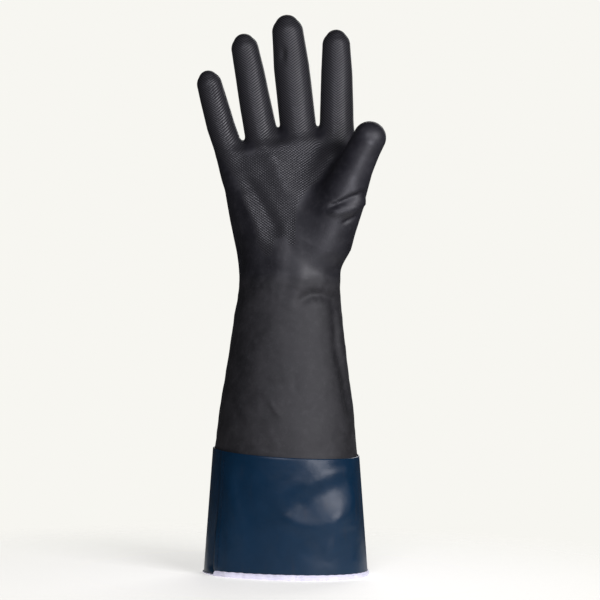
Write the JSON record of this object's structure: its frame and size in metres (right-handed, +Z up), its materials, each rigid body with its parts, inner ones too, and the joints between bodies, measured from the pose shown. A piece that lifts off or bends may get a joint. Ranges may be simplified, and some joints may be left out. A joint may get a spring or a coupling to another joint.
{
  "type": "cryogenic glove",
  "caption": "Long insulated rubber gauntlet glove for the right hand, with a raised diamond grip on the palm, a dark blue coated-cloth cuff and a white bound hem, for handling very cold things.",
  "frame": {"origin": "centre of the cuff mouth, at the hem's lower edge", "axes": "+Z up from the cuff to the fingertips, the palm faces -Y, the thumb is on the +X side"},
  "size_m": [0.152, 0.1113, 0.4547],
  "materials": {
    "rubber_shell": "satin moulded rubber",
    "felt_insulation": "needled felt",
    "knit_lining": "brushed jersey knit",
    "coated_cloth": "semi-gloss coated cloth",
    "cotton_backing": "plain woven cotton",
    "bond_adhesive": "cured adhesive",
    "hem_tape": "folded woven tape",
    "sewing_thread": "twisted thread",
    "dark_thread": "twisted thread"
  },
  "bodies": {
    "gauntlet": {"gauntlet_shell": "rubber_shell", "gauntlet_insulation": "felt_insulation", "gauntlet_lining": "knit_lining", "wrist_bend": "rubber_shell", "cuff_sheet": "coated_cloth", "cuff_lap_margin": "coated_cloth", "cuff_backing": "cotton_backing", "cuff_bond_band": "bond_adhesive", "hem_binding": "hem_tape", "hem_stitches": "sewing_thread", "lap_stitches": "dark_thread"},
    "palm": {"palm_shell": "rubber_shell", "palm_insulation": "felt_insulation", "palm_lining": "knit_lining", "little_base_bend": "rubber_shell", "ring_base_bend": "rubber_shell", "middle_base_bend": "rubber_shell", "index_base_bend": "rubber_shell", "thumb_base_bend": "rubber_shell"},
    "little_middle": {"little_proximal_shell": "rubber_shell", "little_proximal_insulation": "felt_insulation", "little_proximal_lining": "knit_lining", "little_mid_bend": "rubber_shell"},
    "little_end": {"little_tip_shell": "rubber_shell", "little_tip_insulation": "felt_insulation", "little_tip_lining": "knit_lining"},
    "ring_middle": {"ring_proximal_shell": "rubber_shell", "ring_proximal_insulation": "felt_insulation", "ring_proximal_lining": "knit_lining", "ring_mid_bend": "rubber_shell"},
    "ring_end": {"ring_tip_shell": "rubber_shell", "ring_tip_insulation": "felt_insulation", "ring_tip_lining": "knit_lining"},
    "middle_middle": {"middle_proximal_shell": "rubber_shell", "middle_proximal_insulation": "felt_insulation", "middle_proximal_lining": "knit_lining", "middle_mid_bend": "rubber_shell"},
    "middle_end": {"middle_tip_shell": "rubber_shell", "middle_tip_insulation": "felt_insulation", "middle_tip_lining": "knit_lining"},
    "index_middle": {"index_proximal_shell": "rubber_shell", "index_proximal_insulation": "felt_insulation", "index_proximal_lining": "knit_lining", "index_mid_bend": "rubber_shell"},
    "index_end": {"index_tip_shell": "rubber_shell", "index_tip_insulation": "felt_insulation", "index_tip_lining": "knit_lining"},
    "thumb_middle": {"thumb_proximal_shell": "rubber_shell", "thumb_proximal_insulation": "felt_insulation", "thumb_proximal_lining": "knit_lining", "thumb_mid_bend": "rubber_shell"},
    "thumb_end": {"thumb_tip_shell": "rubber_shell", "thumb_tip_insulation": "felt_insulation", "thumb_tip_lining": "knit_lining"}
  },
  "joints": [
    {"name": "wrist_flex", "type": "hinge", "parent": "gauntlet", "child": "palm", "pos_m": [-0.0019, 0, 0.245], "axis": [1, 0, 0], "range_deg": [-35, 40], "stiffness_Nm_per_rad": 1.6, "deforming": ["wrist_bend"]},
    {"name": "little_base_flex", "type": "hinge", "parent": "palm", "child": "little_middle", "pos_m": [-0.06056, -0.0031, 0.36438], "axis": [0.949, 0, 0.3153], "range_deg": [-10, 60], "stiffness_Nm_per_rad": 0.1, "deforming": ["little_base_bend"]},
    {"name": "little_mid_flex", "type": "hinge", "parent": "little_middle", "child": "little_end", "pos_m": [-0.06697, -0.00566, 0.38605], "axis": [0.9603, 0, 0.2788], "range_deg": [0, 65], "stiffness_Nm_per_rad": 0.05, "deforming": ["little_mid_bend"]},
    {"name": "ring_base_flex", "type": "hinge", "parent": "palm", "child": "ring_middle", "pos_m": [-0.03217, -0.0033, 0.38036], "axis": [0.9784, 0, 0.2066], "range_deg": [-10, 60], "stiffness_Nm_per_rad": 0.1, "deforming": ["ring_base_bend"]},
    {"name": "ring_mid_flex", "type": "hinge", "parent": "ring_middle", "child": "ring_end", "pos_m": [-0.03802, -0.00666, 0.40909], "axis": [0.9789, 0, 0.2044], "range_deg": [0, 65], "stiffness_Nm_per_rad": 0.05, "deforming": ["ring_mid_bend"]},
    {"name": "middle_base_flex", "type": "hinge", "parent": "palm", "child": "middle_middle", "pos_m": [0.00052, -0.0033, 0.38135], "axis": [0.9917, 0, 0.1287], "range_deg": [-10, 60], "stiffness_Nm_per_rad": 0.1, "deforming": ["middle_base_bend"]},
    {"name": "middle_mid_flex", "type": "hinge", "parent": "middle_middle", "child": "middle_end", "pos_m": [-0.00374, -0.00696, 0.41307], "axis": [0.9912, 0, 0.1327], "range_deg": [0, 65], "stiffness_Nm_per_rad": 0.05, "deforming": ["middle_mid_bend"]},
    {"name": "index_base_flex", "type": "hinge", "parent": "palm", "child": "index_middle", "pos_m": [0.0338, -0.0033, 0.38085], "axis": [0.9999, 0, 0.0165], "range_deg": [-10, 60], "stiffness_Nm_per_rad": 0.1, "deforming": ["index_base_bend"]},
    {"name": "index_mid_flex", "type": "hinge", "parent": "index_middle", "child": "index_end", "pos_m": [0.03311, -0.00667, 0.41009], "axis": [0.9995, 0, 0.0311], "range_deg": [0, 65], "stiffness_Nm_per_rad": 0.05, "deforming": ["index_mid_bend"]},
    {"name": "thumb_base_flex", "type": "hinge", "parent": "palm", "child": "thumb_middle", "pos_m": [0.04628, -0.03744, 0.33106], "axis": [0.1227, -0.8182, -0.5617], "range_deg": [-10, 30], "stiffness_Nm_per_rad": 0.1, "deforming": ["thumb_base_bend"]},
    {"name": "thumb_mid_flex", "type": "hinge", "parent": "thumb_middle", "child": "thumb_end", "pos_m": [0.05318, -0.04745, 0.34635], "axis": [0.1201, -0.8007, -0.5869], "range_deg": [0, 40], "stiffness_Nm_per_rad": 0.05, "deforming": ["thumb_mid_bend"]}
  ]
}
